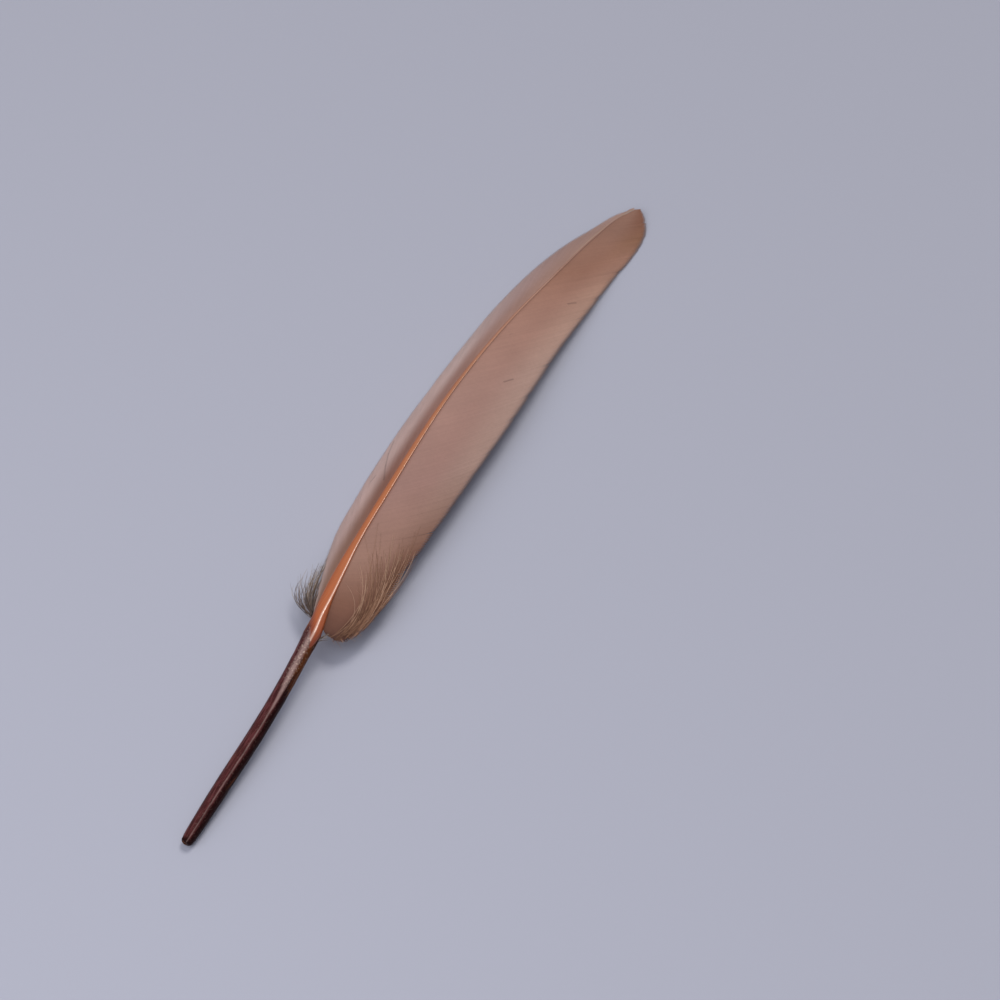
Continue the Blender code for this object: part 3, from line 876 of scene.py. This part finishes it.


# %% The two vanes' colours, beside the shaft and at the edge
# The darkest stops at the wide vane's base are partly painted shade, where the lobe's lower edge lies in
# shade. The wide vane's outer colour is lightened with painted light from its middle to near its tip, against
# the shade on its lowered edge. The narrow vane's pale grey-mauve edge is partly painted sheen.
TRAILING_INNER = ((0.0, "#563022"), (0.05, "#795140"), (0.12, "#967162"), (0.26, "#9c776d"),
                  (0.46, "#a37d71"), (0.66, "#a37969"), (0.78, "#976b58"), (0.92, "#8d6757"))
TRAILING_OUTER = ((0.0, "#3e2015"), (0.05, "#542917"), (0.12, "#785241"), (0.26, "#a6877b"),
                  (0.46, "#af8f82"), (0.66, "#b38d7b"), (0.78, "#a97e6b"), (0.86, "#91674f"),
                  (0.94, "#825643"))
LEADING_INNER = ((0.0, "#6e5547"), (0.08, "#866555"), (0.26, "#83594a"), (0.46, "#926c60"),
                 (0.6, "#9a776b"), (0.8, "#a28073"), (1.0, "#a58d7b"))
LEADING_OUTER = ((0.0, "#a68e85"), (0.12, "#bf9f96"), (0.26, "#c5a69d"), (0.36, "#bc9e95"),
                 (0.46, "#c5a9a1"), (0.56, "#b2958e"), (0.66, "#a3857e"), (0.78, "#a58377"),
                 (0.9, "#a48377"))
trailing_finish = vane_material("dyed_barbs_taupe", TRAILING_INNER, TRAILING_OUTER, edge_at=(0.35, 0.92),
                                streakiness=0.06)
leading_finish = vane_material("dyed_barbs_mauve", LEADING_INNER, LEADING_OUTER, edge_at=(0.12, 0.6),
                               streakiness=0.2)

# %% The two vanes
trailing = grow("trailing_vane", trailing_barbs, trailing_numbers, trailing_finish, Seed=3)
leading = grow("leading_vane", leading_barbs, leading_numbers, leading_finish, Seed=5)

# %% [markdown]
# ## Loose down at the base
#
# The lowest barbs have no hooks. On the trailing side they sweep out along the lobe's edge and curl
# back over the vane, tan and hair-fine, with a short fringe along the lobe's margin. On the leading
# side a small grey tuft fans out under the vane's first barbs, and a few stray hairs stand at the
# sheath's torn top. Each group is spread between a few guide hairs with a little scatter, and the
# same tree grows them: only their width, taper and number differ.

# %% Down's material
# Dyed down: hair-fine and matt, and paler at its tips, a painted glow of the light that passes through them.
DOWN_STOPS = (0.05, 0.6, 0.95)         # places of the dark, common and pale colour on the ramp
PALER_BY_CHANCE, PALER_AT_TIP = 0.6, 0.45


def down_material(name, *colours):
    """Down from a dark through a common to a pale colour, by chance and towards its tips."""
    material, tree, shader = new_material(name, Roughness=0.6, IOR=KERATIN_IOR, Specular_IOR_Level=0.25,
                                          Sheen_Weight=0.1, Sheen_Roughness=0.4)
    shade, out = [add(tree, ATTRIBUTE, attribute_name=key).outputs["Fac"] for key in ("shade", "out")]
    towards_tip = add(tree, MATH, (out, PALER_AT_TIP), operation="MULTIPLY")
    paleness = add(tree, MATH, (shade, PALER_BY_CHANCE, towards_tip), operation="MULTIPLY_ADD")
    feed(tree, shader, {"Base Color": add(tree, RAMP, (paleness,), stops=tuple(zip(DOWN_STOPS, colours)))})
    return material


tan_down = down_material("loose_tan_down", "#4f2c1b", "#8f6850", "#c29e86")
# The grey tuft's near-black colour is partly painted shade.
grey_down = down_material("loose_grey_down", "#261c19", "#65534a", "#a89889")
print(tan_down.name, "and", grey_down.name, "have", len(DOWN_STOPS), "colours each")

# %% Loose barbs
# What sets a loose barb apart from a vane's, as inputs of the barb tree.
LOOSE = {"Rings": 14, "Overlap": 1.0, "Ridge_Height": 0.03 * MM, "Taper_From": 0.2, "Tip_Width": 0.3,
         "Ruffle": 0.0}
LOOSE_WIDTHS = (0.5, 1.3)              # the finest and the broadest, as a share of the common width


def strands(start, bend, end, width, seed):
    """The six vectors of loose barbs, each as wide as its width, in mm, with its broad side up."""
    chance = np.random.default_rng(seed)
    side = unit(np.cross(end - start, (0.0, 0.0, 1.0))) * width
    widths = chance.uniform(*LOOSE_WIDTHS, (len(start), 1))
    vectors = {"root": start, "bend": bend, "tip": end}
    for key in ("root", "bend", "tip"):
        vectors[key + "_step"] = side * widths
    return vectors, {"long": np.linalg.norm(end - start, axis=1)}


def sweep(guides, count, scatter, chance):
    """Loose barbs spread between guides: each guide has a start, a bend and an end, in mm."""
    guides = np.array(guides, dtype=float)
    share = np.sort(chance.uniform(0, len(guides) - 1, count))
    keys = np.arange(len(guides))
    points = []
    for part in range(3):
        place = np.stack([np.interp(share, keys, guides[:, part, axis]) for axis in range(3)], axis=1)
        points.append(place + chance.normal(0, 1, (count, 3)) * scatter[part])
    return points


def join(*groups):
    """Puts groups of start, bend and end points into one."""
    return [np.concatenate(parts) for parts in zip(*groups)]


def hold_back(points, furthest):
    """Keeps each start, bend and end from lying further right than its limit, in mm."""
    for part, limit in zip(points, furthest):
        part[:, 0] = np.minimum(part[:, 0], limit)


# %% Down over the trailing vane
BARB_SAMPLES = 24                      # places on each barb at which the vane's height is read
DOWN_CLEAR = 0.1                       # mm from the vane to the strands that lie on it
DOWN_SEED = 31                         # one run of chance for all the down, in the order of the cells
# Start, bend and end of each guide hair; their heights are read from the vane.
BASE_DOWN_GUIDES = (((1.2, 37.9, 0), (3.6, 42.0, 0), (0.2, 47.5, 0)),
                    ((2.4, 39.4, 0), (4.2, 44.5, 0), (-1.2, 51.5, 0)),
                    ((2.9, 39.5, 0), (5.2, 45.5, 0), (0.0, 54.0, 0)),
                    ((3.3, 40.2, 0), (5.8, 46.8, 0), (2.0, 54.8, 0)),
                    ((3.5, 41.0, 0), (5.5, 48.6, 0), (3.2, 57.0, 0)))
BASE_DOWN_SCATTER = ((0.4, 0.6, 0), (0.7, 1.2, 0), (1.1, 2.0, 0))
BASE_DOWN_COUNT = 72
FURTHEST_RIGHT = (4.2, 5.6, 4.7)


def vane_height(vectors, points):
    """The vane's height under each point, from the nearest place on its barbs."""
    t = np.linspace(0, 1, BARB_SAMPLES)[:, None, None]
    sheet = (1 - t) ** 2 * vectors["root"] + 2 * t * (1 - t) * vectors["bend"] + t * t * vectors["tip"]
    sheet = sheet.reshape(-1, 3)
    apart = np.linalg.norm(points[:, None, :2] - sheet[None, :, :2], axis=2)
    return sheet[np.argmin(apart, axis=1), 2]


def lay_on(vectors, start, bend, end, clear):
    """Sets the strands' heights so that both ends and the middle lie a little over the vane."""
    middle = (start + 2 * bend + end) / 4
    start[:, 2] = vane_height(vectors, start) + clear
    end[:, 2] = vane_height(vectors, end) + clear
    bend[:, 2] = 2 * (vane_height(vectors, middle) + clear) - (start[:, 2] + end[:, 2]) / 2


chance = np.random.default_rng(DOWN_SEED)
sweeping = sweep(BASE_DOWN_GUIDES, BASE_DOWN_COUNT, BASE_DOWN_SCATTER, chance)
hold_back(sweeping, FURTHEST_RIGHT)
lay_on(trailing_barbs, *sweeping, DOWN_CLEAR)
print(BASE_DOWN_COUNT, "strands sweep over the trailing vane")

# %% Fringe along the lobe's margin
FRINGE_COUNT = 44
FRINGE_LAST = 44.0                     # y of the last root whose barb ends in the fringe
# How far inside the margin it starts and, on average, how far past the margin it ends, in mm.
FRINGE_INSIDE, FRINGE_OUTSIDE = 1.2, 0.45
FRINGE_RISE = ((0, 0, 0.08), (0, 0, 0.12))        # mm over the vane at its start and its bend
FRINGE_STRAY = 0.3
FLATTER = (1, 1, 0.2)                  # it strays less up and down than sideways
fringe_from = chance.uniform(TRAILING_FIRST, FRINGE_LAST, FRINGE_COUNT)
margin = read_rows(TRAILING_BARBS, fringe_from) - (0, 0, EDGE_DROP)
outwards = unit(margin - shaft_frame(fringe_from)[0])
stray = chance.normal(0, FRINGE_STRAY, (FRINGE_COUNT, 3)) * FLATTER
fringe = [margin - outwards * FRINGE_INSIDE + FRINGE_RISE[0], margin + FRINGE_RISE[1] + stray / 2,
          margin + outwards * FRINGE_OUTSIDE * chance.uniform(0, 2, (FRINGE_COUNT, 1)) + stray]
hold_back(fringe, FURTHEST_RIGHT)
tan_hairs = strands(*join(sweeping, fringe), width=0.085, seed=6)
base_down = grow("base_down", *tan_hairs, tan_down, Seed=8, **LOOSE)

# %% Grey tuft, and stray hairs at the sheath's torn top
TUFT_GUIDES = (((-3.4, 39.7, 4.0), (-8.4, 40.5, 2.5), (-9.0, 44.6, 1.9)),
               ((-3.4, 39.8, 4.1), (-7.0, 42.4, 3.0), (-8.2, 47.0, 2.2)),
               ((-3.5, 40.0, 4.1), (-6.0, 42.7, 3.5), (-7.5, 49.6, 2.2)),
               ((-3.6, 40.4, 4.1), (-5.4, 42.4, 3.9), (-7.3, 51.5, 2.0)))
TUFT_SCATTER = ((0.12, 0.2, 0.1), (0.6, 0.55, 0.25), (0.6, 1.1, 0.3))
TUFT_COUNT = 84
SHEATH_GUIDES = (((-0.5, 35.4, 4.2), (0.0, 36.0, 4.4), (0.3, 36.8, 4.3)),
                 ((-0.5, 36.6, 4.5), (0.1, 37.0, 4.6), (0.4, 37.8, 4.4)))
SHEATH_SCATTER = ((0.1, 0.2, 0.1), (0.2, 0.2, 0.1), (0.3, 0.3, 0.15))
SHEATH_COUNT = 14
fan = sweep(TUFT_GUIDES, TUFT_COUNT, TUFT_SCATTER, chance)
wisps = sweep(SHEATH_GUIDES, SHEATH_COUNT, SHEATH_SCATTER, chance)
grey_hairs = strands(*join(fan, wisps), width=0.095, seed=7)
tuft = grow("grey_tuft", *grey_hairs, grey_down, Seed=9, **LOOSE)

# %% [markdown]
# ## Ride and the end
#
# Every piece rides on the one body and stands for the feather's solid.

# %% Table of the pieces
PIECES = ((shaft, "quill"), (trailing, "vane"), (leading, "vane"), (base_down, "down"), (tuft, "down"))
for piece, slot in PIECES:
    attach(piece, "root")
    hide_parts("feather")
